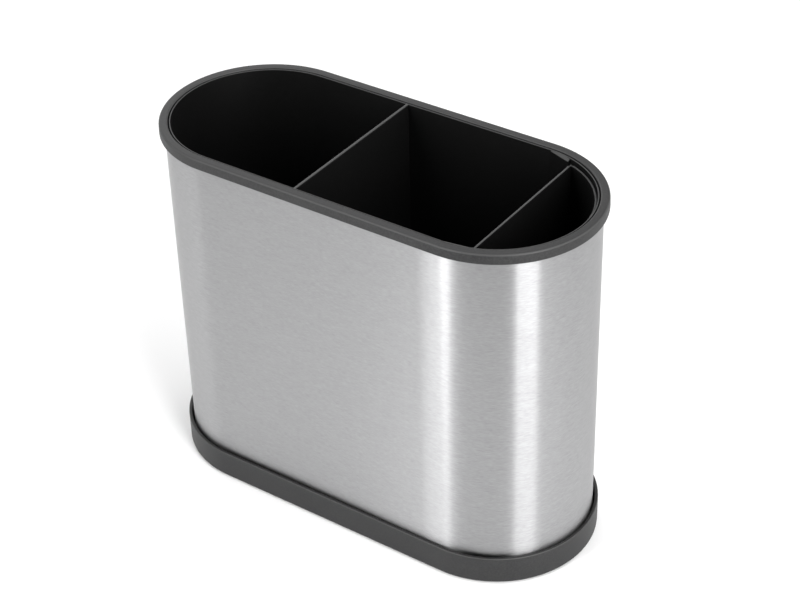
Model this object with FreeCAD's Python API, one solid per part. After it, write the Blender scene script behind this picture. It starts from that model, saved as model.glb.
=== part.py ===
"""Obround cutlery drainer: a brushed steel sleeve with a moulded rim, standing in a drip tray.

A drafted liner with one fixed divider and a slotted floor stands inside the sleeve, and a
D-shaped cup drops into its right-hand end. Every piece is a closed solid in millimetres.
X runs along the drainer, the front long side faces -Y, +Z is up, and the origin is on the
surface that the drainer stands on, under its middle.
"""

import FreeCAD
import Part

import math
import os

Vector = FreeCAD.Vector
UP = Vector(0, 0, 1)
MIDDLE = Vector(0, 0, 0)

# Overall size
LENGTH = 220.0
WIDTH = 96.0
HEIGHT = 180.0

# Rubber feet under the drip tray
FOOT_RADIUS = 7.0
FOOT_STAND = 0.8          # how far the tray is held off the surface
FOOT_POCKET = 0.9         # how deep a foot sits in the tray
FOOT_PLAY = 0.1           # gap round a foot in its pocket
FOOT_EDGE = 0.5           # bevel of a foot's lower edge
FOOT_INSET = 15.0         # middle of a foot, in from the tray's edge
FOOT_ANGLE = 60.0         # place of a foot round the tray's end, in degrees

# Drip tray
TRAY_TOP = 15.0           # top of the tray's wall above the surface
TRAY_WALL = 1.6
TRAY_FLOOR = 2.5
TRAY_LIP_EDGE = 0.5       # bevel of the lip
TRAY_FOOT_EDGE = 1.2      # bevel of the lower edge
KEEPER_RISE = 6.0         # inner rib that keeps the sleeve central
KEEPER_WALL = 1.3
KEEPER_EDGE = 0.4         # bevel of the keeper's top edges
GROOVE_GAP = 0.9          # open gap between the tray's wall and the sleeve
KEEPER_PLAY = 0.4         # gap between the sleeve's hem and the keeper rib

# Steel sleeve
SHEET = 0.6
HEM_RISE = 6.0            # sheet folded back inside the lower edge

# Moulded rim on the sleeve's top edge
RIM_WIDTH = 4.2
RIM_SKIRT = 4.9           # outer skirt, from the top of the rim down
RIM_INNER_SKIRT = 13.0    # inner skirt, from the top of the rim down
RIM_CROWN = 2.0           # plastic above the sleeve's top edge
RIM_DRAFT = 0.15          # lean of the outer skirt over its height
RIM_OUTER_EDGE = 1.0      # rounding of the crown's outer edge
RIM_INNER_EDGE = 0.7      # bevel of the crown's inner edge
RIM_TIP_EDGE = 0.4        # bevel of the skirts' lower edges
RIM_PLAY = 0.1            # gap each side of the sheet in the rim's channel

# Liner
LINER_DROP = 1.0          # liner's edge below the top of the rim
LINER_PLAY = 0.4          # gap between the liner's edge and the rim
LINER_DRAFT = 1.8         # how far the wall leans in from edge to floor
LINER_WALL = 1.4
LINER_FLOOR = 2.0
LINER_EDGE = 0.45         # bevel of the liner's top edges
LINER_FOOT_EDGE = 2.6     # bevel round the foot
LINER_INNER_EDGE = 2.0    # bevel where the wall meets the floor inside
LINER_LEG = 6.0           # bars that hold the floor above the drip well
LEG_WIDTH = 3.0
LEG_INSET = 20.0          # end of a bar, in from the outline
FLOOR_JOIN = 16.0         # inset where the swept wall meets the flat floor

# Fixed divider
DIVIDER_SHARE = 0.51      # its place between the left end and the cup
DIVIDER_TOP = 1.6         # thickness at its top edge
DIVIDER_FOOT = 2.4        # thickness at the floor

# Guide ribs that stop the cup sliding along the liner
RIB_LENGTH = 9.8
RIB_DEPTH = 1.5
RIB_RAMP = 2.0            # sloped lead at the end away from the cup

# Cup in the right-hand end
CUP_ROOM = 29.8           # length of the liner that the cup takes
CUP_DROP = 3.3            # cup's edge below the top of the rim
CUP_PLAY = 0.5            # gap between the cup and the liner's wall
CUP_RIB_PLAY = 0.9        # gap between the cup and the guide ribs
CUP_WALL = 1.4
CUP_FLOOR = 2.2
CUP_FOOT_EDGE = 2.0       # bevel under the cup that clears the liner's inner bevel
CUP_CORNER = 1.6          # bevel of the two upright corners
CUP_EDGE = 0.4            # bevel of the cup's top edges

# Drain slots
SLOT_WIDTH = 3.6
SLOT_PITCH = 11.0
SLOT_MARGIN = 9.0         # solid floor kept round the slots
CUP_SLOT_PITCH = 8.0
CUP_SLOT_MARGIN = 5.0

# Outline that every ring follows: half circles joined by straight sides
END_RADIUS = WIDTH / 2
STRAIGHT_HALF = LENGTH / 2 - END_RADIUS

# Levels
TRAY_FLOOR_TOP = FOOT_STAND + TRAY_FLOOR
SLEEVE_FOOT = TRAY_FLOOR_TOP
SLEEVE_TOP = HEIGHT - RIM_CROWN
LINER_FOOT = TRAY_FLOOR_TOP + LINER_LEG
LINER_FLOOR_TOP = LINER_FOOT + LINER_FLOOR
LINER_TOP = HEIGHT - LINER_DROP
CUP_FOOT = LINER_FLOOR_TOP
CUP_FLOOR_TOP = CUP_FOOT + CUP_FLOOR
CUP_TOP = HEIGHT - CUP_DROP

# Insets from the outline
SLEEVE_OUT = TRAY_WALL + GROOVE_GAP
SLEEVE_IN = SLEEVE_OUT + SHEET
HEM_IN = SLEEVE_IN + SHEET
KEEPER_OUT = HEM_IN + KEEPER_PLAY
KEEPER_IN = KEEPER_OUT + KEEPER_WALL
LINER_TOP_OUT = RIM_WIDTH + LINER_PLAY
LINER_FOOT_OUT = LINER_TOP_OUT + LINER_DRAFT

# Places along the drainer
LINER_END = STRAIGHT_HALF + END_RADIUS - LINER_TOP_OUT - LINER_WALL
CUP_FACE = LINER_END - CUP_ROOM
RIB_TO = CUP_FACE - CUP_RIB_PLAY
RIB_FROM = RIB_TO - RIB_LENGTH
DIVIDER_AT = -LINER_END + DIVIDER_SHARE * (CUP_FACE + LINER_END)


def liner_inset(z):
    """Inset of the liner's outer face at a height."""
    share = (LINER_TOP - z) / (LINER_TOP - LINER_FOOT)
    return LINER_TOP_OUT + LINER_DRAFT * share


def cup_inset(z):
    """Inset of the cup's outer face at a height: clear of the liner's inner face."""
    return liner_inset(z) + LINER_WALL + CUP_PLAY


def outline(inset, z):
    """Closed wire of the outline, moved in by an inset, at a height."""
    radius = END_RADIUS - inset
    s = STRAIGHT_HALF
    right = Part.Arc(Vector(s, -radius, z), Vector(s + radius, 0, z), Vector(s, radius, z))
    left = Part.Arc(Vector(-s, radius, z), Vector(-s - radius, 0, z), Vector(-s, -radius, z))
    front = Part.LineSegment(Vector(-s, -radius, z), Vector(s, -radius, z))
    back = Part.LineSegment(Vector(s, radius, z), Vector(-s, radius, z))
    return Part.Wire([side.toShape() for side in (front, right, back, left)])


def slab(inset, low, high):
    """Straight-sided solid of the outline between two levels."""
    return Part.Face(outline(inset, low)).extrude(Vector(0, 0, high - low))


def drafted(inset_at, low, high):
    """Solid of the outline between two levels, whose inset follows a function of height."""
    return Part.makeLoft([outline(inset_at(low), low), outline(inset_at(high), high)], True, True)


def eased_wire(corners):
    """Closed wire through corners, each a point, a size that eases it and whether it is round.

    A round corner gets an arc of that radius, and any other is cut straight at that size.
    """
    steps = []
    for i, (point, size, is_round) in enumerate(corners):
        before = (corners[i - 1][0] - point).normalize()
        after = (corners[(i + 1) % len(corners)][0] - point).normalize()
        if not is_round:
            steps.append((point + before * size, None, point + after * size))
            continue
        half = before.getAngle(after) / 2
        reach = size / math.tan(half)
        crest = (before + after).normalize() * (size / math.sin(half) - size)
        steps.append((point + before * reach, point + crest, point + after * reach))
    edges = []
    for i, (enter, crest, leave) in enumerate(steps):
        if crest is not None:
            edges.append(Part.Arc(enter, crest, leave).toShape())
        elif enter != leave:
            edges.append(Part.LineSegment(enter, leave).toShape())
        edges.append(Part.LineSegment(leave, steps[(i + 1) % len(steps)][0]).toShape())
    return Part.Wire(edges)


def ring(profile):
    """Solid swept round the outline from a profile of (inset, height, size, round or not)."""
    corners = [
        (Vector(STRAIGHT_HALF, inset - END_RADIUS, z), size, is_round)
        for inset, z, size, is_round in profile
    ]
    face = Part.Face(eased_wire(corners))
    end = face.revolve(Vector(STRAIGHT_HALF, 0, 0), UP, 180)
    side = face.extrude(Vector(-2 * STRAIGHT_HALF, 0, 0))
    half = [end, side]
    other = [shape.copy() for shape in half]
    for shape in other:
        shape.rotate(MIDDLE, UP, 180)
    return half[0].fuse([half[1], *other]).removeSplitter()


def cylinder(radius, x, y, low, high):
    """Upright cylinder between two levels."""
    return Part.makeCylinder(radius, high - low, Vector(x, y, low), UP)


def box(low, high):
    """Box between two corners."""
    size = high - low
    return Part.makeBox(size.x, size.y, size.z, low)


def bar_across(x, width, half_length, low, high):
    """Round-ended bar that runs across the drainer at x."""
    radius = width / 2
    run = half_length - radius
    middle = box(Vector(x - radius, -run, low), Vector(x + radius, run, high))
    ends = [cylinder(radius, x, y, low, high) for y in (-run, run)]
    return middle.fuse(ends).removeSplitter()


def reach_across(x, inset):
    """How far the outline goes across at x, at an inset."""
    past_side = max(0.0, abs(x) - STRAIGHT_HALF)
    return math.sqrt((END_RADIUS - inset) ** 2 - past_side**2)


def slot_places(left, right, pitch):
    """Even row of slots that fits between two places."""
    count = int((right - left - SLOT_WIDTH) // pitch) + 1
    first = (left + right) / 2 - (count - 1) * pitch / 2
    return [first + i * pitch for i in range(count)]


def slots_at(places, inset, low, high):
    """Slots at their places, each as long as the outline allows at that inset."""
    return [
        bar_across(x, SLOT_WIDTH, reach_across(abs(x) + SLOT_WIDTH / 2, inset), low, high)
        for x in places
    ]


def foot_places():
    """Name and place of each rubber foot."""
    angle = math.radians(FOOT_ANGLE)
    along = STRAIGHT_HALF + (END_RADIUS - FOOT_INSET) * math.cos(angle)
    across = (END_RADIUS - FOOT_INSET) * math.sin(angle)
    for row, y in (("front", -across), ("rear", across)):
        for side, x in (("left", -along), ("right", along)):
            yield f"foot_{row}_{side}", x, y


def rubber_foot(x, y):
    """Round pad set in the underside of the tray."""
    pad = cylinder(FOOT_RADIUS, x, y, 0, FOOT_STAND + FOOT_POCKET)
    lower = [edge for edge in pad.Edges if edge.BoundBox.ZMax < FOOT_STAND / 2]
    return pad.makeChamfer(FOOT_EDGE, lower)


def drip_tray():
    """Tray with an upstanding wall, and a keeper rib that the sleeve stands round."""
    keeper_top = TRAY_FLOOR_TOP + KEEPER_RISE
    wall = ring([
        (0, FOOT_STAND, TRAY_FOOT_EDGE, False),
        (0, TRAY_TOP, TRAY_LIP_EDGE, False),
        (TRAY_WALL, TRAY_TOP, TRAY_LIP_EDGE, False),
        (TRAY_WALL, TRAY_FLOOR_TOP, 0, False),
        (KEEPER_OUT, TRAY_FLOOR_TOP, 0, False),
        (KEEPER_OUT, keeper_top, KEEPER_EDGE, False),
        (KEEPER_IN, keeper_top, KEEPER_EDGE, False),
        (KEEPER_IN, TRAY_FLOOR_TOP, 0, False),
        (FLOOR_JOIN, TRAY_FLOOR_TOP, 0, False),
        (FLOOR_JOIN, FOOT_STAND, 0, False),
    ])
    tray = wall.fuse(slab(FLOOR_JOIN, FOOT_STAND, TRAY_FLOOR_TOP)).removeSplitter()
    pockets = [
        cylinder(FOOT_RADIUS + FOOT_PLAY, x, y, 0, FOOT_STAND + FOOT_POCKET)
        for _, x, y in foot_places()
    ]
    return tray.cut(pockets)


def steel_sleeve():
    """Rolled sheet sleeve with its lower edge hemmed inwards."""
    hem_top = SLEEVE_FOOT + HEM_RISE
    fold = SHEET / 2
    return ring([
        (SLEEVE_OUT, SLEEVE_FOOT, fold, False),
        (SLEEVE_OUT, SLEEVE_TOP, 0, False),
        (SLEEVE_IN, SLEEVE_TOP, 0, False),
        (SLEEVE_IN, hem_top, 0, False),
        (HEM_IN, hem_top, 0, False),
        (HEM_IN, SLEEVE_FOOT, fold, False),
    ])


def top_rim():
    """Moulded rim with a channel that grips the sleeve's top edge."""
    skirt_tip = HEIGHT - RIM_SKIRT
    inner_tip = HEIGHT - RIM_INNER_SKIRT
    return ring([
        (0, skirt_tip, RIM_TIP_EDGE, False),
        (RIM_DRAFT, HEIGHT, RIM_OUTER_EDGE, True),
        (RIM_WIDTH, HEIGHT, RIM_INNER_EDGE, False),
        (RIM_WIDTH, inner_tip, 0, False),
        (SLEEVE_IN + RIM_PLAY, inner_tip, RIM_TIP_EDGE, False),
        (SLEEVE_IN + RIM_PLAY, SLEEVE_TOP, 0, False),
        (SLEEVE_OUT - RIM_PLAY, SLEEVE_TOP, 0, False),
        (SLEEVE_OUT - RIM_PLAY, skirt_tip, RIM_TIP_EDGE, False),
    ])


def fixed_divider():
    """Drafted plate across the liner, with a rounded top edge."""
    low = LINER_FLOOR_TOP - LINER_FLOOR / 2
    top_radius = 0.45 * DIVIDER_TOP
    section = eased_wire([
        (Vector(DIVIDER_AT - DIVIDER_FOOT / 2, -END_RADIUS, low), 0, False),
        (Vector(DIVIDER_AT - DIVIDER_TOP / 2, -END_RADIUS, LINER_TOP), top_radius, True),
        (Vector(DIVIDER_AT + DIVIDER_TOP / 2, -END_RADIUS, LINER_TOP), top_radius, True),
        (Vector(DIVIDER_AT + DIVIDER_FOOT / 2, -END_RADIUS, low), 0, False),
    ])
    plate = Part.Face(section).extrude(Vector(0, WIDTH, 0))
    inside = drafted(lambda z: liner_inset(z) + LINER_WALL / 2, low, LINER_TOP)
    return plate.common(inside)


def guide_ribs():
    """Upright ribs on the front and back walls, ramped on the side away from the cup."""
    low = LINER_FLOOR_TOP - LINER_FLOOR / 2
    top = LINER_TOP
    outer = drafted(lambda z: liner_inset(z) + LINER_WALL / 2, low, top)
    inner = drafted(lambda z: liner_inset(z) + LINER_WALL + RIB_DEPTH, low, top)
    band = outer.cut(inner)
    deepest = END_RADIUS - LINER_FOOT_OUT - LINER_WALL - RIB_DEPTH - RIB_RAMP
    ribs = []
    for side in (-1, 1):
        block = Part.makePolygon([
            Vector(RIB_FROM, side * END_RADIUS, low),
            Vector(RIB_TO, side * END_RADIUS, low),
            Vector(RIB_TO, side * deepest, low),
            Vector(RIB_FROM + RIB_RAMP + RIB_DEPTH, side * deepest, low),
            Vector(RIB_FROM, side * (END_RADIUS - LINER_TOP_OUT - LINER_WALL / 2), low),
            Vector(RIB_FROM, side * END_RADIUS, low),
        ])
        ribs.append(band.common(Part.Face(block).extrude(Vector(0, 0, top - low))))
    return ribs


def room_slots():
    """Places of the slots in the left and the middle room."""
    left_end = -LINER_END + LINER_DRAFT + SLOT_MARGIN
    beside = SLOT_MARGIN / 2
    left = slot_places(left_end, DIVIDER_AT - beside, SLOT_PITCH)
    middle = slot_places(DIVIDER_AT + beside, CUP_FACE - beside, SLOT_PITCH)
    return left, middle


def cup_slots(low, high):
    """Slots that line up through the cup's floor and the liner's floor under it."""
    inset = cup_inset(CUP_FOOT) + CUP_WALL + CUP_SLOT_MARGIN
    left = CUP_FACE + CUP_WALL + CUP_SLOT_MARGIN
    right = STRAIGHT_HALF + END_RADIUS - inset
    return slots_at(slot_places(left, right, CUP_SLOT_PITCH), inset, low, high)


def leg_bars(left, middle):
    """Bars under the divider and between slots, that stand on the tray's floor."""
    near = max(1, len(left) // 3)
    far = max(1, len(middle) // 3)
    places = [
        (left[near - 1] + left[near]) / 2,
        DIVIDER_AT,
        (middle[-far - 1] + middle[-far]) / 2,
    ]
    return [
        bar_across(x, LEG_WIDTH, reach_across(x, LEG_INSET), TRAY_FLOOR_TOP, LINER_FOOT)
        for x in places
    ]


def liner():
    """Drafted tub on leg bars, with a fixed divider, guide ribs and a slotted floor."""
    wall = ring([
        (LINER_FOOT_OUT, LINER_FOOT, LINER_FOOT_EDGE, False),
        (LINER_TOP_OUT, LINER_TOP, LINER_EDGE, False),
        (LINER_TOP_OUT + LINER_WALL, LINER_TOP, LINER_EDGE, False),
        (liner_inset(LINER_FLOOR_TOP) + LINER_WALL, LINER_FLOOR_TOP, LINER_INNER_EDGE, False),
        (FLOOR_JOIN, LINER_FLOOR_TOP, 0, False),
        (FLOOR_JOIN, LINER_FOOT, 0, False),
    ])
    floor = slab(FLOOR_JOIN, LINER_FOOT, LINER_FLOOR_TOP)
    left, middle = room_slots()
    inside = [floor, fixed_divider(), *guide_ribs(), *leg_bars(left, middle)]
    tub = wall.fuse(inside).removeSplitter()
    margin = LINER_FOOT_OUT + LINER_WALL + SLOT_MARGIN
    slots = slots_at(left + middle, margin, LINER_FOOT, LINER_FLOOR_TOP)
    return tub.cut(slots + cup_slots(LINER_FOOT, LINER_FLOOR_TOP))


def d_shape(inset_at, face, corner, low, high):
    """Right-hand end of the drafted outline, cut off flat at x and with bevelled corners."""
    whole = drafted(inset_at, low, high)
    keep = box(Vector(face, -WIDTH, low), Vector(LENGTH, WIDTH, high))
    cut = whole.common(keep)
    upright = [
        edge for edge in cut.Edges
        if edge.BoundBox.ZLength > (high - low) / 2 and edge.BoundBox.XMin < face + corner
    ]
    return cut.makeChamfer(corner, upright)


def foot_bevel():
    """Ring that cuts the cup's lower edge away above the liner's inner bevel."""
    level = CUP_FOOT + CUP_FOOT_EDGE
    foot = outline(cup_inset(CUP_FOOT) + CUP_FOOT_EDGE, CUP_FOOT)
    keep = Part.makeLoft([foot, outline(cup_inset(level), level)], True, True)
    return slab(0, CUP_FOOT, level).cut(keep)


def end_cup():
    """D-shaped cup with a slotted floor that stands on the liner's floor."""
    outer = d_shape(cup_inset, CUP_FACE, CUP_CORNER, CUP_FOOT, CUP_TOP).cut(foot_bevel())
    hollow = d_shape(
        lambda z: cup_inset(z) + CUP_WALL, CUP_FACE + CUP_WALL, CUP_CORNER - CUP_WALL,
        CUP_FLOOR_TOP, CUP_TOP,
    )
    cup = outer.cut(hollow)
    lip = [edge for edge in cup.Edges if edge.BoundBox.ZMin > CUP_TOP - CUP_EDGE / 2]
    cup = cup.makeChamfer(CUP_EDGE, lip)
    return cup.cut(cup_slots(CUP_FOOT, CUP_FLOOR_TOP))


def pieces():
    """Every piece of the drainer by name."""
    made = {
        "drip_tray": drip_tray(),
        "steel_sleeve": steel_sleeve(),
        "top_rim": top_rim(),
        "liner": liner(),
        "end_cup": end_cup(),
    }
    for name, x, y in foot_places():
        made[name] = rubber_foot(x, y)
    return made


def main():
    os.makedirs("parts", exist_ok=True)
    for name, shape in pieces().items():
        shape.exportStep(f"parts/{name}.step")
        print(f"{name}: solids {len(shape.Solids)}, valid {shape.isValid()}, {shape.Volume / 1000:.2f} cm3")


main()
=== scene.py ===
"""Looks of a round-ended cutlery drainer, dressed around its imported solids.

A brushed steel sleeve with a moulded rim stands in a drip tray on soft feet. A drafted liner
with a fixed divider stands inside it, and a D-shaped cup fills the liner's right-hand end.
Sizes are in millimetres, as a maker would write them, and meshes are in metres.
"""

import logging
import math
from collections.abc import Callable, Iterable, Sequence
from dataclasses import dataclass, field, replace
from enum import Enum

import bmesh
import bpy
from bpy.types import Material, Node, NodeSocket, NodeTree, Object
from mathutils import Matrix, Quaternion, Vector


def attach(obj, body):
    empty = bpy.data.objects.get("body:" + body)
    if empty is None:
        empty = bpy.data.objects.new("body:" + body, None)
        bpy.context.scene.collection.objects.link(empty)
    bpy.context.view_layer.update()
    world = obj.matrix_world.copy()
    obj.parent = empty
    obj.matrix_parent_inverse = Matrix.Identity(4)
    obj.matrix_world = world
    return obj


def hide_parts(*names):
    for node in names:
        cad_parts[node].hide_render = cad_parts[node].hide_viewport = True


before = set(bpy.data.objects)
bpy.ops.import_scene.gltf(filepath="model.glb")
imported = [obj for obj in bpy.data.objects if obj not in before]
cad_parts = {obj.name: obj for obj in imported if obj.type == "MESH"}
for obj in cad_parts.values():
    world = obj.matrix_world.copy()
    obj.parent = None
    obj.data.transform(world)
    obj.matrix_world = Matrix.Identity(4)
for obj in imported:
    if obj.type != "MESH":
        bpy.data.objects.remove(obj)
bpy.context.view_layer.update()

LOG = logging.getLogger("drainer")
MM = 0.001                  # metres in a millimetre
SAME_PLACE = 0.01           # how near counts as the same place
WELD_GAP = 0.002            # points nearer than this are made one
FLAT_HOLD = 1.5             # the flats are cut this far before a bend
DIVIDER_AT = -13.118        # place of the liner's divider
ROUND_STEPS = 192           # facets in a full turn of the outline
FOOT_STEPS = 64             # facets in a full turn of a foot
SMALL_STEPS = 24            # facets in a full turn of a slot or a leg bar
NOISE_LOW, NOISE_HIGH = 0.3, 0.7    # nearly all of a noise lies between these


class Body(Enum):
    """Body of the moving model that a piece rides on."""

    TRAY = "tray"
    SLEEVE = "sleeve"
    LINER = "liner"
    CUP = "cup"


class Along(Enum):
    """Way in which the two halves of a turned form are drawn apart."""

    LENGTH = 0
    DEPTH = 1


class Cut(Enum):
    """How one mesh works on another."""

    TAKE_AWAY = "DIFFERENCE"
    JOIN = "UNION"


class Kind(Enum):
    """Element of a mesh that is selected."""

    VERT = "VERT"
    EDGE = "EDGE"
    FACE = "FACE"


@dataclass(frozen=True)
class Corner:
    """Corner of a profile.

    Attributes:
        inset: How far in from the outline.
        height: Height above the surface.
        radius: Rounding of the corner.
        steps: Number of facets in the rounding.
    """

    inset: float
    height: float
    radius: float = 0.0
    steps: int = 5


@dataclass(frozen=True)
class Outline:
    """Round-ended outline that the sleeve, the rim, the liner and the tray all follow."""

    length: float = 220.0
    width: float = 96.0

    @property
    def end_radius(self) -> float:
        """Radius of the two round ends."""
        return self.width / 2

    @property
    def straight_half(self) -> float:
        """Half the length of the straight sides."""
        return (self.length - self.width) / 2

    def reach(self, x: float, inset: float) -> float:
        """How far the outline goes across at a place along it.

        Args:
            x: Place along the drainer.
            inset: How far in from the outline.

        Returns:
            Half the depth there.
        """
        past = max(0.0, abs(x) - self.straight_half)
        return math.sqrt((self.end_radius - inset) ** 2 - past**2)


OUTLINE = Outline()


def linear(code: str) -> tuple[float, float, float, float]:
    """Turns an sRGB hex colour to linear light.

    Args:
        code: Colour such as "#808080".

    Returns:
        Red, green, blue and alpha.
    """
    parts = [int(code[i:i + 2], 16) / 255 for i in (1, 3, 5)]
    low = [c / 12.92 if c <= 0.04045 else ((c + 0.055) / 1.055) ** 2.4 for c in parts]
    return (*low, 1.0)


def add_node(
    tree: NodeTree,
    kind: str,
    inputs: dict[str | int, object] | None = None,
    stops: Iterable[tuple[float, str]] = (),
    **settings: object,
) -> Node:
    """Adds a shader node with its links, colours and settings.

    Args:
        tree: Node tree that gets the node.
        kind: Blender's name of the node's type, after ShaderNode.
        inputs: A value, or a socket to link from, for each input by name or number.
        stops: Place from 0 to 1 and hex colour of each stop, where the node is a ramp.
        **settings: Values of the node's own properties.

    Returns:
        The new node.
    """
    node = tree.nodes.new(f"ShaderNode{kind}")
    for name, value in settings.items():
        setattr(node, name, value)
    for name, value in (inputs or {}).items():
        if isinstance(value, NodeSocket):
            tree.links.new(value, node.inputs[name])
        else:
            node.inputs[name].default_value = value
    for i, (place, code) in enumerate(stops):
        ramp = node.color_ramp.elements
        element = ramp[i] if i < len(ramp) else ramp.new(place)
        element.position = place
        element.color = linear(code)
    return node


def new_material(name: str) -> tuple[Material, NodeTree]:
    """Makes an empty material.

    Args:
        name: Name of the real material.

    Returns:
        The material and its node tree.
    """
    material = bpy.data.materials.new(name)
    material.use_nodes = True
    material.node_tree.nodes.clear()
    return material, material.node_tree


def shade(tree: NodeTree, inputs: dict[str | int, object]) -> None:
    """Ends a material with its shader.

    Args:
        tree: Node tree of the material.
        inputs: A value, or a socket to link from, for the shader's inputs.
    """
    shader = add_node(tree, "BsdfPrincipled", inputs)
    add_node(tree, "OutputMaterial", {"Surface": shader.outputs["BSDF"]})


@dataclass(frozen=True)
class BrushedStainless:
    """Stainless sheet brushed along its length: streaks run level, and glints spread upright."""

    name: str = "brushed_stainless_304"
    dark: str = "#959596"
    light: str = "#adadae"
    tones: tuple[float, float] = (0.25, 0.75)
    roughness: float = 0.29
    roughness_spread: float = 0.015
    anisotropy: float = 1.0
    stretch_turn: float = 0.25                  # sets the stretched highlights upright
    streak: tuple[float, float] = (2.4, 0.22)   # real lines are near 0.1 mm wide, drawn coarser
    band: tuple[float, float] = (7.2, 1.2)
    band_share: float = 0.25
    relief: float = 0.004
    strength: float = 0.06

    def build(self) -> Material:
        """Makes the material.

        Returns:
            The material.
        """
        material, tree = new_material(self.name)
        place = add_node(tree, "TexCoord").outputs["Object"]
        streaks = []
        for length, width in (self.streak, self.band):
            level, upright = 1 / (length * MM), 1 / (width * MM)
            spread = add_node(tree, "Mapping", {"Vector": place, "Scale": (level, level, upright)})
            streaks.append(add_node(tree, "TexNoise", {
                "Vector": spread.outputs[0], "Scale": 1.0, "Detail": 1.5, "Roughness": 0.5,
            }).outputs["Fac"])
        fine, broad = streaks
        grain = add_node(
            tree, "Mix", {"Factor": self.band_share, "A": fine, "B": broad},
        ).outputs["Result"]
        tone = add_node(tree, "ValToRGB", {"Fac": grain}, zip(self.tones, (self.dark, self.light)))
        rough = add_node(tree, "MapRange", {
            "Value": grain, "From Min": NOISE_LOW, "From Max": NOISE_HIGH,
            "To Min": self.roughness - self.roughness_spread,
            "To Max": self.roughness + self.roughness_spread,
        })
        relief = add_node(tree, "Bump", {
            "Height": fine, "Strength": self.strength, "Distance": self.relief * MM,
        })
        turn = add_node(tree, "Tangent", direction_type="RADIAL", axis="Z")
        shade(tree, {
            "Metallic": 1.0, "Anisotropic": self.anisotropy,
            "Anisotropic Rotation": self.stretch_turn, "Tangent": turn.outputs["Tangent"],
            "Base Color": tone.outputs["Color"], "Roughness": rough.outputs["Result"],
            "Normal": relief.outputs["Normal"],
        })
        return material


@dataclass(frozen=True)
class MouldedPlastic:
    """Injection moulded polypropylene with a spark-eroded grain that breaks up its sheen.

    A lean is 0 on an upright face and 1 on a level one.
    """

    name: str
    colour: str
    fleck: str                      # lighter colour of the grain's peaks
    tones: tuple[float, float] = (0.35, 0.68)
    roughness: float = 0.5
    roughness_spread: float = 0.06
    grain: float = 0.9              # real grain is near 0.15 mm, drawn coarser
    cloud: float = 45.0             # faint patches left by the melt's flow
    cloud_share: float = 0.3
    relief: float = 0.03
    strength: float = 0.35
    ior: float = 1.49
    specular: float = 0.5
    edge: str | None = None         # colour of the painted highlight on rounded edges
    edge_highlight_lean: tuple[float, float, float, float] = (0.12, 0.45, 0.85, 0.985)
    top_highlight: str | None = None       # colour of the painted highlight on top edges that face up
    top_highlight_from: float = 0.0        # height where the painted highlight starts
    top_highlight_to: float = 0.0          # height where it is full
    top_highlight_at: float = 0.0          # place of the cross wall whose top has the full painted highlight
    top_highlight_half: float = 1.1        # half that wall's thickness, with play
    top_highlight_lip: float = 0.85        # share of the painted highlight on the other edges
    top_highlight_lean: tuple[float, float] = (0.45, 0.95)

    def build(self) -> Material:
        """Makes the material.

        Returns:
            The material.
        """
        material, tree = new_material(self.name)
        spots = add_node(tree, "TexCoord").outputs
        grain, cloud = (
            add_node(tree, "TexNoise", {
                "Vector": spots["Object"], "Scale": 1 / (size * MM), "Detail": 2.0,
                "Roughness": fall,
            }).outputs["Fac"]
            for size, fall in ((self.grain, 0.55), (self.cloud, 0.5))
        )
        both = add_node(
            tree, "Mix", {"Factor": self.cloud_share, "A": grain, "B": cloud},
        ).outputs["Result"]
        colour = add_node(
            tree, "ValToRGB", {"Fac": both}, zip(self.tones, (self.colour, self.fleck)),
        ).outputs["Color"]
        lean = add_node(tree, "SeparateXYZ", {"Vector": spots["Normal"]}).outputs["Z"]
        masks = []
        # painted highlights: on rounded edges, and on top edges that face up
        if self.edge is not None:
            masks.append((self.edge_highlight_mask(tree, lean), self.edge))
        if self.top_highlight is not None:
            masks.append((self.top_highlight_mask(tree, spots["Object"], lean), self.top_highlight))
        for mask, code in masks:
            colour = add_node(
                tree, "Mix", {"Factor": mask, "A": colour, "B": linear(code)}, data_type="RGBA",
            ).outputs["Result"]
        rough = add_node(tree, "MapRange", {
            "Value": both, "From Min": NOISE_LOW, "From Max": NOISE_HIGH,
            "To Min": self.roughness - self.roughness_spread,
            "To Max": self.roughness + self.roughness_spread,
        })
        relief = add_node(tree, "Bump", {
            "Height": grain, "Strength": self.strength, "Distance": self.relief * MM,
        })
        shade(tree, {
            "IOR": self.ior, "Specular IOR Level": self.specular, "Base Color": colour,
            "Roughness": rough.outputs["Result"], "Normal": relief.outputs["Normal"],
        })
        return material

    def edge_highlight_mask(self, tree: NodeTree, lean: NodeSocket) -> NodeSocket:
        """Finds the rounded edges, which take a painted highlight.

        Args:
            tree: Node tree of the material.
            lean: Upright part of the face's direction.

        Returns:
            Socket that is 1 on the edges and 0 on flat and upright faces.
        """
        lift = add_node(tree, "Math", {0: lean}, operation="ABSOLUTE")
        levels = ("#000000", "#ffffff", "#ffffff", "#000000")
        return add_node(
            tree, "ValToRGB", {"Fac": lift.outputs[0]}, zip(self.edge_highlight_lean, levels),
        ).outputs["Color"]

    def top_highlight_mask(self, tree: NodeTree, place: NodeSocket, lean: NodeSocket) -> NodeSocket:
        """Finds the top edges that take a painted highlight.

        Args:
            tree: Node tree of the material.
            place: Place of the point in metres.
            lean: Upright part of the face's direction.

        Returns:
            Socket that is 1 where the painted highlight is full.
        """
        spot = add_node(tree, "SeparateXYZ", {"Vector": place}).outputs
        cross = add_node(
            tree, "Math", {0: spot["X"], 1: self.top_highlight_at * MM, 2: self.top_highlight_half * MM},
            operation="COMPARE",
        )
        share = add_node(tree, "MapRange", {"Value": cross.outputs[0], "To Min": self.top_highlight_lip})
        high = add_node(tree, "MapRange", {
            "Value": spot["Z"], "To Max": share.outputs["Result"],
            "From Min": self.top_highlight_from * MM, "From Max": self.top_highlight_to * MM,
        })
        start, full = self.top_highlight_lean
        return add_node(tree, "MapRange", {
            "Value": lean, "From Min": start, "From Max": full, "To Max": high.outputs["Result"],
        }, interpolation_type="SMOOTHSTEP").outputs["Result"]


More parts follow.
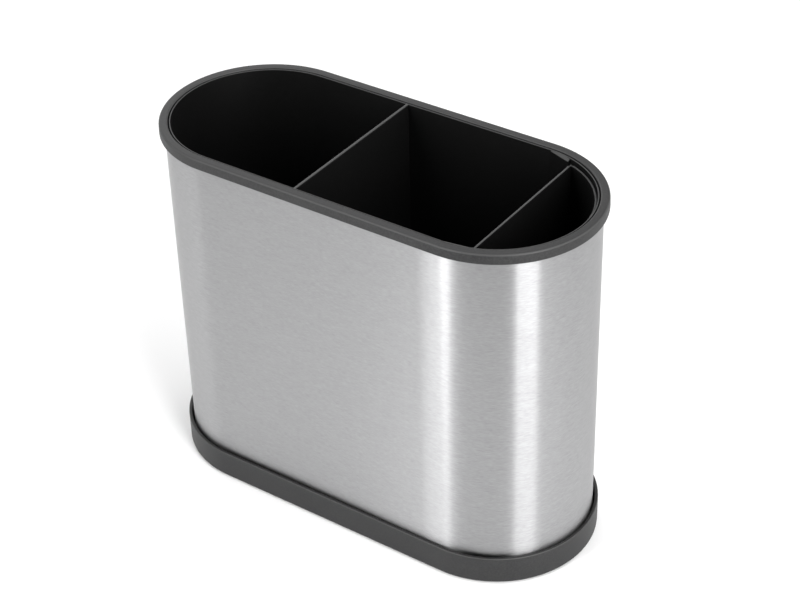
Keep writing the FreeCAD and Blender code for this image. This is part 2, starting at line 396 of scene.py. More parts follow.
# Bright upright bands on the round ends and a satin grey between them.
STEEL = BrushedStainless()
# Charcoal with a low sheen, a faint speckle and a painted highlight along the crown's edge.
RIM_PLASTIC = MouldedPlastic(
    "rim_polypropylene", "#1b1b1c", "#313131", specular=0.33, edge="#3c3c3c",
)
# The rim's charcoal, a touch darker, with a painted highlight along the lip.
TRAY_PLASTIC = MouldedPlastic(
    "tray_polypropylene", "#19191a", "#2b2b2b", specular=0.33, edge="#3a3a3a",
)
# Dark plastic drawn near black, partly painted shade so that the rooms read as deep, with a
# painted highlight on the upward top edges.
LINER_PLASTIC = MouldedPlastic(
    "liner_polypropylene", "#080808", "#0b0b0b", specular=0.17,
    top_highlight="#454545", top_highlight_from=177.8, top_highlight_to=178.0, top_highlight_at=DIVIDER_AT,
)
# The liner's finish with its painted shade, and its painted highlight set to the cup's lip and
# flat wall.
CUP_PLASTIC = replace(
    LINER_PLASTIC, name="cup_polypropylene", top_highlight_from=176.3, top_highlight_to=176.5, top_highlight_at=74.8,
)
# Dull black that takes no highlight.
FOOT_RUBBER = MouldedPlastic(
    "foot_thermoplastic_rubber", "#202020", "#2a2a2a", roughness=0.8, grain=0.4,
)


def start_piece(name: str, add: Callable[..., set[str]], **settings: object) -> Object:
    """Adds a primitive with nothing else selected, and applies its place.

    Args:
        name: Name of the piece.
        add: Operator that adds the primitive.
        **settings: Settings of that operator.

    Returns:
        The new object.
    """
    bpy.ops.object.select_all(action="DESELECT")
    add(**settings)
    piece = bpy.context.object
    piece.name = name
    piece.data.name = name
    bpy.ops.object.transform_apply(location=True, rotation=True, scale=True)
    return piece


def alone(piece: Object) -> None:
    """Selects one piece and nothing else, and makes it active.

    Args:
        piece: The piece.
    """
    bpy.ops.object.select_all(action="DESELECT")
    piece.select_set(True)
    bpy.context.view_layer.objects.active = piece


def edit(piece: Object) -> None:
    """Opens a piece alone in edit mode."""
    alone(piece)
    bpy.ops.object.mode_set(mode="EDIT")


def close_edit() -> None:
    """Goes back to object mode."""
    bpy.ops.object.mode_set(mode="OBJECT")


def pick(piece: Object, kind: Kind, test: Callable[[Vector], bool]) -> None:
    """Selects by place in edit mode, and nothing else.

    Args:
        piece: Object in edit mode.
        kind: What is selected.
        test: Says whether a point, in millimetres, is wanted. A face is tried at its middle,
            and an edge at both its ends.
    """
    bpy.ops.mesh.select_mode(type=kind.value)
    bpy.ops.mesh.select_all(action="DESELECT")
    mesh = bmesh.from_edit_mesh(piece.data)
    if kind is Kind.FACE:
        found = [face for face in mesh.faces if test(face.calc_center_median() / MM)]
    elif kind is Kind.EDGE:
        found = [edge for edge in mesh.edges if all(test(vert.co / MM) for vert in edge.verts)]
    else:
        found = [vert for vert in mesh.verts if test(vert.co / MM)]
    for element in found:
        element.select_set(True)
    bmesh.update_edit_mesh(piece.data)


def rounded(corners: Sequence[Corner], closed: bool) -> list[tuple[float, float]]:
    """Rounds the corners of a profile.

    Args:
        corners: Corners in order.
        closed: Whether the last one joins the first.

    Returns:
        Inset and height of each point.
    """
    spots = [Vector((c.inset, c.height, 0)) for c in corners]
    points: list[tuple[float, float]] = []
    for i, corner in enumerate(corners):
        at_end = not closed and i in (0, len(corners) - 1)
        if corner.radius == 0 or at_end:
            points.append((corner.inset, corner.height))
            continue
        before = (spots[i - 1] - spots[i]).normalized()
        after = (spots[(i + 1) % len(spots)] - spots[i]).normalized()
        half = before.angle(after) / 2
        centre = spots[i] + (before + after).normalized() * (corner.radius / math.sin(half))
        first = spots[i] + before * (corner.radius / math.tan(half)) - centre
        last = spots[i] + after * (corner.radius / math.tan(half)) - centre
        for step in range(corner.steps + 1):
            spot = centre + first.slerp(last, step / corner.steps) * corner.radius
            points.append((spot.x, spot.y))
    return points


def turned(
    name: str, profile: Sequence[tuple[float, float]], run: float,
    along: Along = Along.LENGTH, closed: bool = False, steps: int = ROUND_STEPS,
) -> Object:
    """Extrudes a circle along a profile, then draws its halves apart into a round-ended form.

    Args:
        name: Name of the piece.
        profile: Radius and height of each ring of the form, in order.
        run: How far each half is drawn out.
        along: Which way the halves go.
        closed: True for a ring whose profile joins up, False for a solid with end faces.
        steps: Facets in a full turn.

    Returns:
        The new object, in object mode.
    """
    radius, height = profile[0]
    piece = start_piece(
        name, bpy.ops.mesh.primitive_circle_add,
        vertices=steps, radius=radius * MM, fill_type="NOTHING" if closed else "NGON",
        location=(0, 0, height * MM), rotation=(0, 0, math.pi / steps),
    )
    edit(piece)
    bpy.ops.mesh.select_all(action="SELECT")
    rings = list(profile) + ([profile[0]] if closed else [])
    for (radius, height), (next_radius, next_height) in zip(rings, rings[1:]):
        rise = (next_height - height) * MM
        share = next_radius / radius
        bpy.ops.mesh.extrude_region_move(TRANSFORM_OT_translate={"value": (0, 0, rise)})
        bpy.ops.transform.resize(value=(share, share, 1), center_override=(0, 0, 0))
    bpy.ops.mesh.select_all(action="SELECT")
    bpy.ops.mesh.remove_doubles(threshold=WELD_GAP * MM)
    for side in (-1, 1):
        pick(piece, Kind.VERT, lambda spot: spot[along.value] * side > 0)
        shift = [0.0, 0.0, 0.0]
        shift[along.value] = side * run * MM
        bpy.ops.transform.translate(value=shift)
    bpy.ops.mesh.select_all(action="SELECT")
    bpy.ops.mesh.normals_make_consistent(inside=False)
    close_edit()
    return piece


def hold_flats(piece: Object) -> None:
    """Cuts the straight sides near their ends, so that their shading stays flat.

    Args:
        piece: Piece with the drainer's outline.
    """
    edit(piece)
    near = (OUTLINE.straight_half - FLAT_HOLD) * MM
    for x in (-near, near):
        bpy.ops.mesh.select_all(action="SELECT")
        bpy.ops.mesh.bisect(plane_co=(x, 0, 0), plane_no=(1, 0, 0))
    close_edit()


def swept(name: str, corners: Sequence[Corner], closed: bool) -> Object:
    """Turns a profile of corners into a form that follows the drainer's outline.

    Args:
        name: Name of the piece.
        corners: Corners of the profile.
        closed: True for a ring, False for a tub with a floor.

    Returns:
        The new object.
    """
    profile = [(OUTLINE.end_radius - inset, z) for inset, z in rounded(corners, closed)]
    piece = turned(name, profile, OUTLINE.straight_half, closed=closed)
    hold_flats(piece)
    return piece


def work(piece: Object, tools: Iterable[Object], cut: Cut) -> None:
    """Joins tools to a piece or cuts them from it, and removes the tools.

    Args:
        piece: Piece that is worked.
        tools: Meshes that work on it.
        cut: What they do.
    """
    for tool in tools:
        alone(piece)
        bpy.ops.object.modifier_add(type="BOOLEAN")
        modifier = piece.modifiers[-1]
        modifier.operation = cut.value
        modifier.solver = "MANIFOLD"
        modifier.object = tool
        bpy.ops.object.modifier_apply(modifier=modifier.name)
        bpy.data.objects.remove(tool)


def smooth(piece: Object, angle: float = 32.0) -> None:
    """Smooths the shading of rounded edges and keeps the flats flat.

    Args:
        piece: Piece to smooth.
        angle: Edges bent by more degrees than this stay crisp.
    """
    alone(piece)
    bpy.ops.object.shade_smooth_by_angle(angle=math.radians(angle))
    bpy.ops.object.modifier_add(type="WEIGHTED_NORMAL")
    modifier = piece.modifiers[-1]
    modifier.keep_sharp = True
    bpy.ops.object.modifier_apply(modifier=modifier.name)


def install(piece: Object, body: Body, node: str, material: Material) -> None:
    """Dresses a finished piece and puts it in place of its CAD node.

    Args:
        piece: The finished piece.
        body: Body that it rides on.
        node: CAD node that it stands for.
        material: Its finish.
    """
    piece.data.materials.clear()
    piece.data.materials.append(material)
    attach(piece, body.value)
    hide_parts(node)
    LOG.info("%s: %d faces on body %s", piece.name, len(piece.data.polygons), body.value)


@dataclass
class SteelSleeve:
    """Rolled sheet sleeve, welded up the back and hemmed at its lower edge."""

    inset: float = 2.5
    sheet: float = 0.6
    foot: float = 3.3
    top: float = 178.0
    hem: float = 6.0
    crisp: float = 20.0
    seam_half: float = 0.45
    seam_depth: float = 0.2
    seam_reach: float = 50.0
    seam_foot: float = 1.0
    ease_depth: float = 0.37
    ease_peak: float = 8.0          # past the start of a bend
    ease_reach: float = 19.0        # each side of the peak
    ease_pitch: float = 2.0

    @property
    def face(self) -> float:
        """Radius of the round ends, and half the depth between the flats."""
        return OUTLINE.end_radius - self.inset

    def build(self) -> Object:
        """Models the sleeve.

        Returns:
            The sleeve.
        """
        inner = self.inset + self.sheet
        folded = inner + self.sheet
        hem_top = self.foot + self.hem
        piece = swept("sleeve_sheet", [
            Corner(self.inset, self.foot, 0.55),
            Corner(self.inset, self.top, 0.1, 2),
            Corner(inner, self.top, 0.1, 2),
            Corner(inner, hem_top, 0.1, 2),
            Corner(folded, hem_top, 0.2, 3),
            Corner(folded, self.foot, 0.55),
        ], closed=True)
        self.ease_bends(piece)
        self.weld(piece)
        smooth(piece, self.crisp)
        return piece

    def along(self, spot: Vector) -> float:
        """How far round the sleeve a point is.

        Args:
            spot: The point.

        Returns:
            Distance past the start of the nearest bend, below zero on a flat.
        """
        past = abs(spot.x) - OUTLINE.straight_half
        return past if past < 0 else self.face * math.atan2(past, abs(spot.y))

    def ease_bends(self, piece: Object) -> None:
        """Draws the sheet in a little where each bend starts, as rolled sheet bends early.

        Args:
            piece: The sleeve.
        """
        first = self.ease_peak - self.ease_reach
        flats = [first + i * self.ease_pitch for i in range(1, int(-first / self.ease_pitch))]
        facet = math.tau / ROUND_STEPS * self.face
        count = int((self.ease_peak + self.ease_reach) / facet)
        bends = [(i + 0.5) * facet for i in range(count)]
        edit(piece)
        for place in (first, *flats):
            for side in (-1, 1):
                x = side * (OUTLINE.straight_half + place)
                bpy.ops.mesh.select_all(action="SELECT")
                bpy.ops.mesh.bisect(plane_co=(x * MM, 0, 0), plane_no=(1, 0, 0))
        for place in (*flats, -FLAT_HOLD, *bends):
            swing = math.pi * (place - self.ease_peak) / self.ease_reach
            share = 1 - self.ease_depth * (1 + math.cos(swing)) / 2 / self.face
            pick(piece, Kind.VERT, lambda spot: abs(self.along(spot) - place) < SAME_PLACE)
            bpy.ops.transform.resize(value=(1, share, 1), center_override=(0, 0, 0))
        close_edit()

    def weld(self, piece: Object) -> None:
        """Sinks the ground-down weld line up the middle of the back.

        Args:
            piece: The sleeve.
        """
        edit(piece)
        for share in (-2, -1, 1, 2):
            pick(
                piece, Kind.FACE,
                lambda spot: spot.y > self.face - 2 * self.sheet
                and abs(spot.x) < self.seam_reach,
            )
            x = share * self.seam_half
            bpy.ops.mesh.bisect(plane_co=(x * MM, 0, 0), plane_no=(1, 0, 0))
        pick(
            piece, Kind.VERT,
            lambda spot: spot.y > self.face - self.sheet / 4
            and abs(spot.x) < 1.5 * self.seam_half and spot.z > self.foot + self.seam_foot,
        )
        bpy.ops.transform.translate(value=(0, -self.seam_depth * MM, 0))
        close_edit()

    def dress(self, piece: Object) -> None:
        """Gives the sleeve its brushed finish."""
        install(piece, Body.SLEEVE, "steel_sleeve", STEEL.build())


@dataclass
class TopRim:
    """Moulded rim whose channel grips the sleeve's top edge."""

    width: float = 4.2
    top: float = 180.0
    skirt: float = 4.9
    inner_skirt: float = 13.0
    draft: float = 0.15
    channel_top: float = 178.0
    channel_out: float = 2.4
    channel_in: float = 3.5

    def build(self) -> Object:
        """Models the rim.

        Returns:
            The rim.
        """
        tip = self.top - self.skirt
        inner_tip = self.top - self.inner_skirt
        piece = swept("rim_moulding", [
            Corner(0, tip, 0.4),
            Corner(self.draft, self.top, 1.0, 7),
            Corner(self.width, self.top, 0.7, 6),
            Corner(self.width, inner_tip, 0.2, 3),
            Corner(self.channel_in, inner_tip, 0.4, 3),
            Corner(self.channel_in, self.channel_top),
            Corner(self.channel_out, self.channel_top),
            Corner(self.channel_out, tip, 0.4),
        ], closed=True)
        smooth(piece)
        return piece

    def dress(self, piece: Object) -> None:
        """Gives the rim its moulded finish."""
        install(piece, Body.SLEEVE, "top_rim", RIM_PLASTIC.build())


@dataclass
class Feet:
    """Soft pads in pockets under the tray, with a dished middle."""

    radius: float = 7.0
    stand: float = 0.8
    pocket: float = 0.9
    play: float = 0.1
    inset: float = 15.0
    angle: float = 60.0
    sole: tuple[tuple[float, float], ...] = (
        (3.2, 0.4), (3.6, 0.1), (3.8, 0.0), (6.3, 0.0), (6.75, 0.12), (6.95, 0.4),
    )
    sole_top: float = 0.6

    def places(self) -> list[tuple[str, float, float]]:
        """Works out where the feet are.

        Returns:
            Name of each foot and its place along and across the drainer.
        """
        turn = math.radians(self.angle)
        ring = OUTLINE.end_radius - self.inset
        along = OUTLINE.straight_half + ring * math.cos(turn)
        across = ring * math.sin(turn)
        return [
            (f"foot_{row}_{side}", x, y)
            for row, y in (("front", -across), ("rear", across))
            for side, x in (("left", -along), ("right", along))
        ]

    def pockets(self) -> list[Object]:
        """Models the tools that cut the pockets in the tray.

        Returns:
            One tool for each foot.
        """
        wide, high = self.radius + self.play, self.stand + self.pocket
        tools = []
        for name, x, y in self.places():
            tool = turned(f"{name}_pocket", [(wide, 0.0), (wide, high)], 0, steps=FOOT_STEPS)
            tool.data.transform(Matrix.Translation((x * MM, y * MM, 0)))
            tools.append(tool)
        return tools

    def build(self) -> list[Object]:
        """Models one pad and copies it to the other places.

        Returns:
            The four feet.
        """
        side = [(self.radius, z) for z in (self.sole_top, self.stand + self.pocket)]
        pad = turned("foot_pad", [*self.sole, *side], 0, steps=FOOT_STEPS)
        smooth(pad)
        feet = []
        for name, x, y in self.places():
            foot = pad.copy()
            foot.data = pad.data.copy()
            foot.name = f"{name}_pad"
            foot.data.name = foot.name
            foot.data.transform(Matrix.Translation((x * MM, y * MM, 0)))
            bpy.context.scene.collection.objects.link(foot)
            feet.append(foot)
        bpy.data.objects.remove(pad)
        return feet

    def dress(self, feet: Sequence[Object]) -> None:
        """Gives the feet their rubber finish.

        Args:
            feet: The four feet.
        """
        material = FOOT_RUBBER.build()
        for (name, _, _), foot in zip(self.places(), feet):
            install(foot, Body.TRAY, name, material)


@dataclass
class DripTray:
    """Moulded tray with an upstanding wall and a keeper rib inside the sleeve."""

    feet: Feet
    wall: float = 1.6
    foot: float = 0.8
    top: float = 15.0
    floor_top: float = 3.3
    keeper_out: float = 4.1
    keeper_in: float = 5.4
    keeper_top: float = 9.3
    floor_join: float = 20.0

    def build(self) -> Object:
        """Models the tray.

        Returns:
            The tray.
        """
        piece = swept("tray_moulding", [
            Corner(self.floor_join, self.foot),
            Corner(0, self.foot, 1.2, 6),
            Corner(0, self.top, 0.5),
            Corner(self.wall, self.top, 0.5),
            Corner(self.wall, self.floor_top, 0.3, 3),
            Corner(self.keeper_out, self.floor_top, 0.3, 3),
            Corner(self.keeper_out, self.keeper_top, 0.4),
            Corner(self.keeper_in, self.keeper_top, 0.4),
            Corner(self.keeper_in, self.floor_top, 0.6),
            Corner(self.floor_join, self.floor_top),
        ], closed=False)
        work(piece, self.feet.pockets(), Cut.TAKE_AWAY)
        smooth(piece)
        return piece

    def dress(self, piece: Object) -> None:
        """Gives the tray its moulded finish."""
        install(piece, Body.TRAY, "drip_tray", TRAY_PLASTIC.build())


@dataclass
class Slots:
    """Round-ended drain slots with an eased upper edge."""

    width: float = 3.6
    ease: float = 0.5
    margin: float = 9.0
    pitch: float = 11.0
    under: float = 1.0              # how far a tool goes below the floor
    over: float = 0.5               # and above it

    def row(self, left: float, right: float, pitch: float) -> list[float]:
        """Places of an even row of slots.

        Args:
            left: Where the row may start.
            right: Where it has to end.
            pitch: Distance from slot to slot.

        Returns:
            Places along the drainer.
        """
        count = int((right - left - self.width) // pitch) + 1
        first = (left + right) / 2 - (count - 1) * pitch / 2
        return [first + i * pitch for i in range(count)]

    def tools(
        self, places: Sequence[float], inset: float, low: float, high: float,
    ) -> list[Object]:
        """Models the tools that cut the slots through a floor.

        Args:
            places: Places along the drainer.
            inset: How far the slots' ends stay in from the outline.
            low: Underside of the floor.
            high: Top of the floor.

        Returns:
            One tool for each slot.
        """
        radius = self.width / 2
        wide = radius + self.ease
        profile = [
            (radius, low - self.under), (radius, high - self.ease),
            (wide, high), (wide, high + self.over),
        ]
        made = []
        for x in places:
            run = OUTLINE.reach(abs(x) + radius, inset) - radius
            tool = turned("slot_tool", profile, run, Along.DEPTH, steps=SMALL_STEPS)
            tool.data.transform(Matrix.Translation((x * MM, 0, 0)))
            made.append(tool)
        return made


@dataclass
class EndCup:
    """D-shaped cup that stands on the liner's floor at its right-hand end."""

    slots: Slots
    face: float = 74.2
    foot: float = 11.3
    top: float = 177.3
    foot_inset: float = 8.279
    top_inset: float = 5.6
    wall: float = 1.15
    floor: float = 2.2
    foot_edge: float = 2.0
    foot_round: tuple[float, float] = (0.75, 0.6)
    steps: int = 56
    corner: float = 1.8
    corner_near: float = 0.3
    lip: float = 0.45
    slot_margin: float = 5.0
    slot_pitch: float = 8.0

    @property
    def slot_inset(self) -> float:
        """How far the slots' ends stay in from the outline."""
        return self.foot_inset + self.wall + self.slot_margin

    def slot_row(self) -> list[float]:
        """Places of the slots in the cup's floor."""
        right = OUTLINE.straight_half + OUTLINE.end_radius - self.slot_inset
        return self.slots.row(self.face + self.wall + self.slot_margin, right, self.slot_pitch)

    def build(self) -> Object:
        """Models the cup.

        Returns:
            The cup.
        """
        base = OUTLINE.end_radius - self.foot_inset
        mouth = OUTLINE.end_radius - self.top_inset
        inwards, upwards = self.foot_round
        piece = turned("cup_moulding", [
            (base - self.foot_edge, self.foot), (base - inwards, self.foot + upwards),
            (base, self.foot + self.foot_edge), (mouth, self.top),
        ], OUTLINE.straight_half, steps=self.steps)
        edit(piece)
        bpy.ops.mesh.select_all(action="SELECT")
        bpy.ops.mesh.bisect(
            plane_co=(self.face * MM, 0, 0), plane_no=(1, 0, 0), clear_inner=True, use_fill=True,
        )
        self.round_uprights(piece)
        self.hollow(piece, base / mouth)
        close_edit()
        floor_top = self.foot + self.floor
        tools = self.slots.tools(self.slot_row(), self.slot_inset, self.foot, floor_top)
        work(piece, tools, Cut.TAKE_AWAY)
        smooth(piece)
        return piece

    def round_uprights(self, piece: Object) -> None:
        """Rounds the two upright corners beside the flat wall.

        Args:
            piece: The solid cup, in edit mode.
        """
        foot_inset = self.foot_inset + self.foot_edge
        across = OUTLINE.reach(self.face, foot_inset) - self.corner_near
        for side in (-1, 1):
            pick(
                piece, Kind.EDGE,
                lambda spot: abs(spot.x - self.face) < SAME_PLACE and spot.y * side > across,
            )
            bpy.ops.mesh.bevel(offset=self.corner * MM, segments=5, affect="EDGES")

    def hollow(self, piece: Object, taper: float) -> None:
        """Insets the top, pushes it down to the floor and rounds the lip.

        Args:
            piece: The solid cup, in edit mode.
            taper: Width of the foot as a share of the mouth's.
        """
        depth = self.top - self.foot - self.floor
        pick(piece, Kind.FACE, lambda spot: spot.z > self.top - SAME_PLACE)
        bpy.ops.mesh.inset(thickness=self.wall * MM, depth=0)
        bpy.ops.mesh.extrude_region_move(TRANSFORM_OT_translate={"value": (0, 0, -depth * MM)})
        bpy.ops.transform.resize(
            value=(taper, taper, 1), center_override=((self.face + self.wall) * MM, 0, 0),
        )
        pick(piece, Kind.FACE, lambda spot: spot.z > self.top - SAME_PLACE)
        bpy.ops.mesh.region_to_loop()
        bpy.ops.mesh.bevel(offset=self.lip * MM, segments=4, affect="EDGES")

    def dress(self, piece: Object) -> None:
        """Gives the cup its moulded finish."""
        install(piece, Body.CUP, "end_cup", CUP_PLASTIC.build())


@dataclass
class Liner:
    """Drafted tub with a fixed divider, guide ribs, a slotted floor and leg bars."""

    slots: Slots
    cup: EndCup
    foot: float = 9.3
    floor_top: float = 11.3
    top: float = 179.4
    stand: float = 3.3
    top_inset: float = 4.7
    foot_inset: float = 6.4
    wall: float = 1.4
    lip_wall: float = 0.75
    divider: float = DIVIDER_AT
    divider_top: float = 1.6
    divider_foot: float = 2.4
    divider_round: float = 0.42
    rib_length: float = 10.4
    rib_start: float = 0.35
    rib_depth: float = 1.5
    rib_play: float = 0.7
    rib_drop: float = 0.1
    rib_slope: float = 1.0
    rib_root: float = 0.4
    leg_width: float = 3.0
    leg_inset: float = 20.0
    leg_edge: float = 0.3
    leg_sink: float = 0.5
    floor_join: float = 24.0
    sink: float = 1.0

    def inset(self, z: float) -> float:
        """Inset of the outer face at a height."""
        share = (self.top - z) / (self.top - self.foot)
        return self.top_inset + (self.foot_inset - self.top_inset) * share

    def inner(self, z: float) -> float:
        """Works out where the inner face is at a height.

        Args:
            z: The height.

        Returns:
            How far in from the outline it is.
        """
        lip = self.top_inset + self.lip_wall
        share = (self.top - z) / (self.top - self.floor_top)
        return lip + (self.inset(self.floor_top) + self.wall - lip) * share

    def slot_rows(self) -> tuple[list[float], list[float]]:
        """Works out where the slots of the two open rooms are.

        Returns:
            Places along the drainer in the left and in the middle room.
        """
        end = OUTLINE.straight_half + OUTLINE.end_radius - self.foot_inset - self.wall
        beside = self.slots.margin / 2
        left = self.slots.row(-end + self.slots.margin, self.divider - beside, self.slots.pitch)
        middle = self.slots.row(self.divider + beside, self.cup.face - beside, self.slots.pitch)
        return left, middle

    def build(self) -> Object:
        """Models the liner.

        Returns:
            The liner.
        """
        piece = swept("liner_moulding", [
            Corner(self.floor_join, self.foot),
            Corner(self.foot_inset, self.foot, 4.5, 7),
            Corner(self.top_inset, self.top, 0.3),
            Corner(self.inner(self.top), self.top, 0.3),
            Corner(self.inner(self.floor_top), self.floor_top, 2.0),
            Corner(self.floor_join, self.floor_top),
        ], closed=False)
        left, middle = self.slot_rows()
        work(piece, [self.divider_plate(), *self.ribs(), *self.legs(left, middle)], Cut.JOIN)
        margin = self.foot_inset + self.wall + self.slots.margin
        tools = self.slots.tools(left + middle, margin, self.foot, self.floor_top)
        tools += self.slots.tools(
            self.cup.slot_row(), self.cup.slot_inset, self.foot, self.floor_top,
        )
        work(piece, tools, Cut.TAKE_AWAY)
        smooth(piece)
        return piece

    def divider_plate(self) -> Object:
        """Models the fixed divider, whose ends and foot sink into the wall and the floor.

        Returns:
            The divider.
        """
        low = self.floor_top - self.sink
        half_low = OUTLINE.end_radius - self.inset(low) - self.wall / 2
        half_top = OUTLINE.end_radius - self.top_inset - self.lip_wall / 2
        plate = start_piece(
            "divider_tool", bpy.ops.mesh.primitive_cube_add, size=1,
            location=(self.divider * MM, 0, (low + self.top) / 2 * MM),
            scale=(self.divider_foot * MM, 2 * half_low * MM, (self.top - low) * MM),
        )
        edit(plate)
        pick(plate, Kind.FACE, lambda spot: spot.z > self.top - SAME_PLACE)
        bpy.ops.transform.resize(
            value=(self.divider_top / self.divider_foot, half_top / half_low, 1),
            center_override=(self.divider * MM, 0, 0),
        )
        for side in (-1, 1):
            pick(
                plate, Kind.EDGE,
                lambda spot: spot.z > self.top - SAME_PLACE
                and (spot.x - self.divider) * side > self.divider_top / 4,
            )
            radius = self.divider_round * self.divider_top
            bpy.ops.mesh.bevel(offset=radius * MM, segments=5, affect="EDGES")
        close_edit()
        return plate

    def ribs(self) -> list[Object]:
        """Models the guide ribs, which grow deeper towards the cup and stop beside it.

        Returns:
            The front and the rear rib.
        """
        low, high = self.floor_top - self.sink, self.top - self.rib_drop
        right = self.cup.face - self.rib_play
        left = right - self.rib_length
        middle = OUTLINE.reach(right, self.inner(low)) - self.rib_depth
        made = []
        for side in (-1, 1):
            rib = start_piece(
                "rib_tool", bpy.ops.mesh.primitive_cube_add, size=1,
                location=((left + right) / 2 * MM, side * middle * MM, (low + high) / 2 * MM),
                scale=(self.rib_length * MM, MM, (high - low) * MM),
            )
            edit(rib)
            for x, depth in ((left, self.rib_start), (right, self.rib_depth)):
                for z in (low, high):
                    face = OUTLINE.reach(x, self.inner(z))
                    slope = self.rib_slope * depth / self.rib_depth if z == high else 0.0
                    for way, y, drop in ((-1, face - depth, slope), (1, face + self.rib_root, 0)):
                        corner = Vector((x, side * (middle + way / 2), z))
                        pick(rib, Kind.VERT, lambda spot: (spot - corner).length < SAME_PLACE)
                        shift = (0, (side * y - corner.y) * MM, -drop * MM)
                        bpy.ops.transform.translate(value=shift)
            close_edit()
            made.append(rib)
        return made

    def legs(self, left: Sequence[float], middle: Sequence[float]) -> list[Object]:
        """Models the bars that stand on the tray's floor, between slots and under the divider.

        Args:
            left: Places of the slots in the left room.
            middle: Places of the slots in the middle room.

        Returns:
            The three bars.
        """
        places = ((left[1] + left[2]) / 2, self.divider, (middle[-3] + middle[-2]) / 2)
        radius = self.leg_width / 2
        bars = []
        for x in places:
            run = OUTLINE.reach(x, self.leg_inset) - radius
            bar = turned("leg_tool", [
                (radius - self.leg_edge, self.stand), (radius, self.stand + self.leg_edge),
                (radius, self.foot + self.leg_sink),
            ], run, Along.DEPTH, steps=SMALL_STEPS)
            bar.data.transform(Matrix.Translation((x * MM, 0, 0)))
            bars.append(bar)
        return bars

    def dress(self, piece: Object) -> None:
        """Gives the liner its moulded finish."""
        install(piece, Body.LINER, "liner", LINER_PLASTIC.build())


@dataclass(frozen=True)
class SoftBox:
    """Upright rectangular soft box.

    Attributes:
        name: Name of the light.
        bearing: Direction from the drainer's right end, in degrees from +X towards +Y.
        distance: Distance from that end in metres.
        height: Height of its middle in metres.
        size: Width and height in metres.
        power: Power in watts.
        aim: Height that it is turned to, in metres.
    """

    name: str
    bearing: float
    distance: float
    height: float
    size: tuple[float, float]
    power: float
    aim: float = 0.1

    def build(self) -> Object:
        """Adds the light, turned to the drainer.

        Returns:
            The light.
        """
        turn = math.radians(self.bearing)
        spot = Vector((
            OUTLINE.straight_half * MM + math.cos(turn) * self.distance,
            math.sin(turn) * self.distance,
            self.height,
        ))
        data = bpy.data.lights.new(self.name, "AREA")
        data.shape = "RECTANGLE"
        data.size, data.size_y = self.size
        data.energy = self.power
        light = bpy.data.objects.new(self.name, data)
        light.location = spot
        towards = Vector((0, 0, self.aim)) - spot
        light.rotation_euler = towards.to_track_quat("-Z", "Y").to_euler()
        light.visible_camera = False
        bpy.context.scene.collection.objects.link(light)
        return light


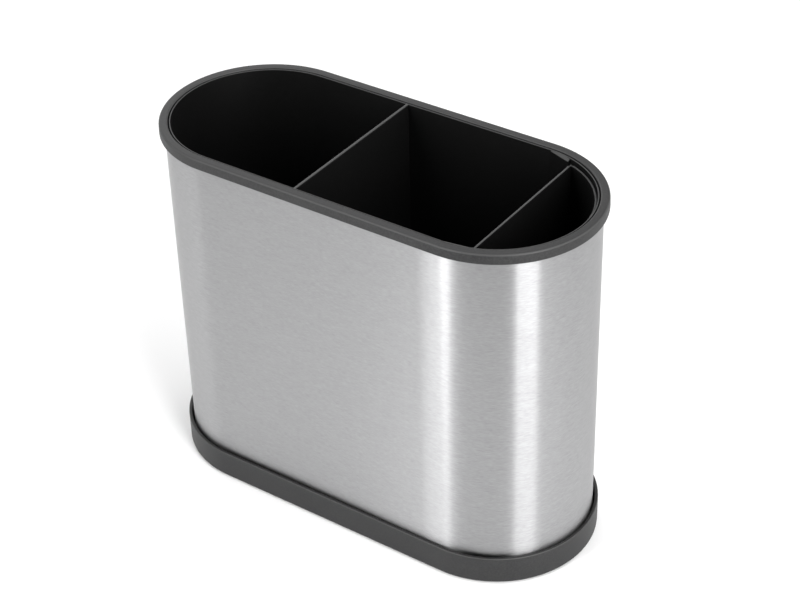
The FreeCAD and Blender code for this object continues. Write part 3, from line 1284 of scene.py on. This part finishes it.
@dataclass
class Studio:
    """Pale floor, soft light and the camera of the photograph."""

    azimuth: float = 35.513
    elevation: float = 35.134
    roll: float = -1.70
    distance: float = 908.73
    target: tuple[float, float, float] = (10.117, 0.0, 104.531)
    lens: float = 89.565
    sensor: float = 36.0
    clip: tuple[float, float] = (0.01, 50.0)
    floor_size: float = 20.0
    floor_colours: tuple[str, str] = ("#f4f4f4", "#8c8c8c")
    light_pool_middle: tuple[float, float] = (-0.17, 0.24)
    light_pool_from: float = 0.55
    light_pool_to: float = 1.0
    boxes: list[SoftBox] = field(default_factory=lambda: [
        SoftBox("left_strip", -109.2, 1.3, 0.6, (0.27, 1.3), 15.0),
        SoftBox("right_key", -34.8, 1.3, 0.6, (0.2, 1.3), 8.0),
        SoftBox("right_fill", -23.0, 1.3, 0.6, (0.34, 1.3), 13.0),
        SoftBox("overhead", -54.5, 0.4, 1.3, (0.8, 0.6), 1.7),
    ])
    sky_level: float = 2.4
    sky: list[tuple[float, str]] = field(default_factory=lambda: [
        (-180.0, "#3a3a3a"), (-138.5, "#f4f4f4"), (-135.5, "#101010"), (-40.0, "#101010"),
        (-10.0, "#fafafa"), (25.0, "#c4c4c4"), (65.0, "#c8c8c8"), (100.0, "#000000"),
        (140.0, "#ffffff"), (180.0, "#3a3a3a"),
    ])

    def add_camera(self) -> None:
        """Sets the camera at the photograph's viewing angle."""
        turn, lift = math.radians(self.azimuth), math.radians(self.elevation)
        back = Vector((
            math.sin(turn) * math.cos(lift), -math.cos(turn) * math.cos(lift), math.sin(lift),
        ))
        data = bpy.data.cameras.new("photo_camera")
        data.sensor_fit = "HORIZONTAL"
        data.sensor_width = self.sensor
        data.lens = self.lens
        data.clip_start, data.clip_end = self.clip
        camera = bpy.data.objects.new("photo_camera", data)
        camera.rotation_mode = "QUATERNION"
        level = (-back).to_track_quat("-Z", "Y")
        camera.rotation_quaternion = level @ Quaternion((0, 0, 1), math.radians(self.roll))
        camera.location = Vector(self.target) * MM + back * self.distance * MM
        bpy.context.scene.collection.objects.link(camera)
        bpy.context.scene.camera = camera

    def add_floor(self) -> None:
        """Adds the pale floor, a painted pool of light that is pale near the drainer and darker
        far away, so that it sends less light back up.
        """
        floor = start_piece("studio_floor", bpy.ops.mesh.primitive_plane_add, size=self.floor_size)
        material, tree = new_material("pale_paper")
        place = add_node(tree, "TexCoord").outputs["Object"]
        away = add_node(
            tree, "VectorMath", {0: place, 1: (*self.light_pool_middle, 0.0)}, operation="DISTANCE",
        )
        # painted pool of light: full around its middle, fading to the darker colour with distance
        light_pool = add_node(tree, "MapRange", {
            "Value": away.outputs["Value"], "From Min": self.light_pool_from, "From Max": self.light_pool_to,
        }, interpolation_type="SMOOTHSTEP")
        tone = add_node(
            tree, "ValToRGB", {"Fac": light_pool.outputs["Result"]}, zip((0, 1), self.floor_colours),
        )
        shade(tree, {
            "Base Color": tone.outputs["Color"], "Roughness": 0.9, "Specular IOR Level": 0.1,
        })
        floor.data.materials.append(material)

    def add_light(self) -> None:
        """Adds the soft boxes and a sky of pale walls, dim on the camera's side."""
        for box in self.boxes:
            box.build()
        world = bpy.data.worlds.new("studio_sky")
        world.use_nodes = True
        tree = world.node_tree
        tree.nodes.clear()
        way = add_node(tree, "TexCoord").outputs["Generated"]
        parts = add_node(tree, "SeparateXYZ", {"Vector": way}).outputs
        bearing = add_node(tree, "Math", {0: parts["Y"], 1: parts["X"]}, operation="ARCTAN2")
        turn = add_node(
            tree, "MapRange",
            {"Value": bearing.outputs[0], "From Min": -math.pi, "From Max": math.pi},
        )
        tone = add_node(
            tree, "ValToRGB", {"Fac": turn.outputs["Result"]},
            [((angle + 180) / 360, code) for angle, code in self.sky],
        )
        sky = add_node(
            tree, "Background", {"Color": tone.outputs["Color"], "Strength": self.sky_level},
        )
        add_node(tree, "OutputWorld", {"Surface": sky.outputs[0]})
        bpy.context.scene.world = world

    def build(self) -> None:
        """Builds the whole set."""
        self.add_floor()
        self.add_light()
        self.add_camera()
        view = bpy.context.scene.view_settings
        view.view_transform, view.look = "Standard", "None"


def main() -> None:
    """Builds every piece of the drainer and the set around it."""
    logging.basicConfig(level=logging.INFO, format="%(name)s: %(message)s")
    feet = Feet()
    slots = Slots()
    cup = EndCup(slots)
    for part in (feet, DripTray(feet), SteelSleeve(), TopRim(), Liner(slots, cup), cup):
        part.dress(part.build())
    Studio().build()


if __name__ == "__main__":
    main()
